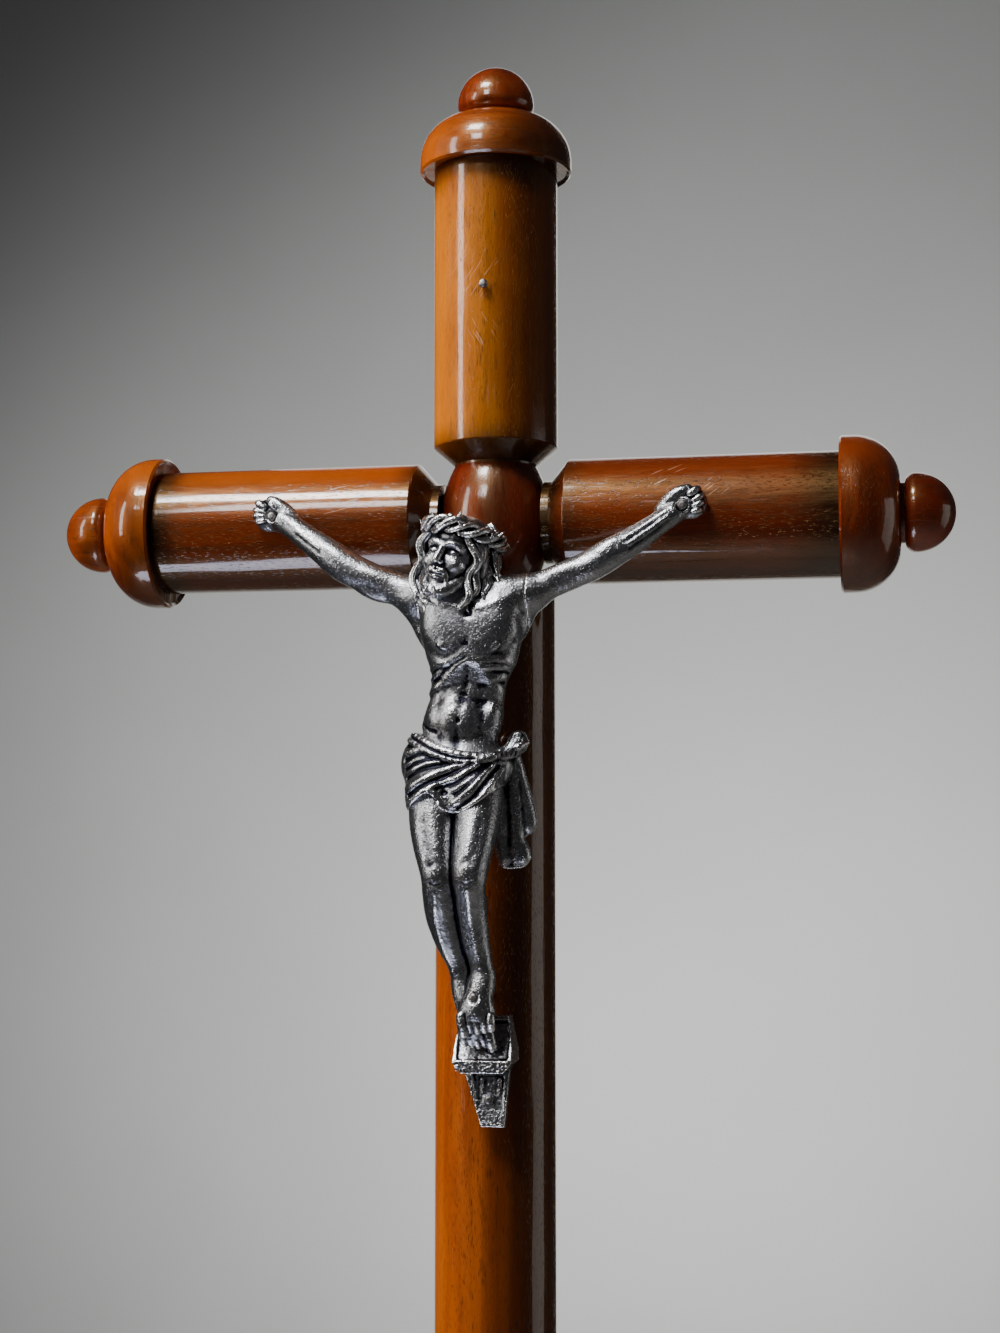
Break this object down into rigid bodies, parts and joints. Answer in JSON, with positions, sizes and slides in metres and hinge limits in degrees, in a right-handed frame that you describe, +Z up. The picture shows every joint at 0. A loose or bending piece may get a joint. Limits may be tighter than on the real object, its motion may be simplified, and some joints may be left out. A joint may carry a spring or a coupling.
{
  "type": "processional cross",
  "caption": "Turned wooden processional cross with ball finials and a cast metal corpus, on a tall round staff that lifts apart at a brass ferrule.",
  "frame": {"origin": "centre of the foot's flat bottom", "axes": "+Z up the staff, the figure faces -Y, the arms lie along X"},
  "size_m": [0.254, 0.0632, 1.6518],
  "materials": {
    "knop_wood": "gloss varnish, dark red-brown",
    "limb_wood": "gloss varnish over stained beech",
    "arm_wood": "gloss varnish over stained beech",
    "turned_wood": "gloss varnish on turned end pieces",
    "dowel_wood": "raw beech",
    "old_silver": "cast silver-coloured metal, dark in the hollows and worn bright on top",
    "nail_metal": "dull steel",
    "old_brass": "aged satin brass"
  },
  "bodies": {
    "staff": {"lower_staff": "limb_wood", "socket_ferrule": "old_brass", "screw_boss": "old_brass", "socket_ferrule_rivet": "old_brass", "foot_ferrule": "old_brass", "foot_ferrule_rivet": "old_brass", "foot_tip": "old_brass"},
    "cross": {"centre_knop": "knop_wood", "upper_limb": "limb_wood", "left_arm": "arm_wood", "right_arm": "arm_wood", "upper_staff": "limb_wood", "upper_cap": "turned_wood", "left_cap": "turned_wood", "right_cap": "turned_wood", "upper_finial": "turned_wood", "left_finial": "turned_wood", "right_finial": "turned_wood", "staff_dowel": "dowel_wood", "left_dowel": "dowel_wood", "right_dowel": "dowel_wood", "corpus_body": "old_silver", "corpus_left_arm": "old_silver", "corpus_right_arm": "old_silver", "foot_bracket": "old_silver", "left_hand_nail": "nail_metal", "right_hand_nail": "nail_metal", "feet_nail": "nail_metal", "bracket_nail": "nail_metal", "titulus_nail": "nail_metal", "head_ferrule": "old_brass", "spigot": "old_brass", "head_ferrule_rivet": "old_brass"},
    "thumbscrew": {"thumbscrew": "old_brass"}
  },
  "joints": [
    {"name": "cross_lift", "type": "slide", "parent": "staff", "child": "cross", "axis": [0, 0, 1], "range_m": [0, 0.075]},
    {"name": "thumbscrew_turn", "type": "hinge", "parent": "staff", "child": "thumbscrew", "pos_m": [0.02, 0, 0.926], "axis": [1, 0, 0], "range_deg": [-720, 0]}
  ]
}
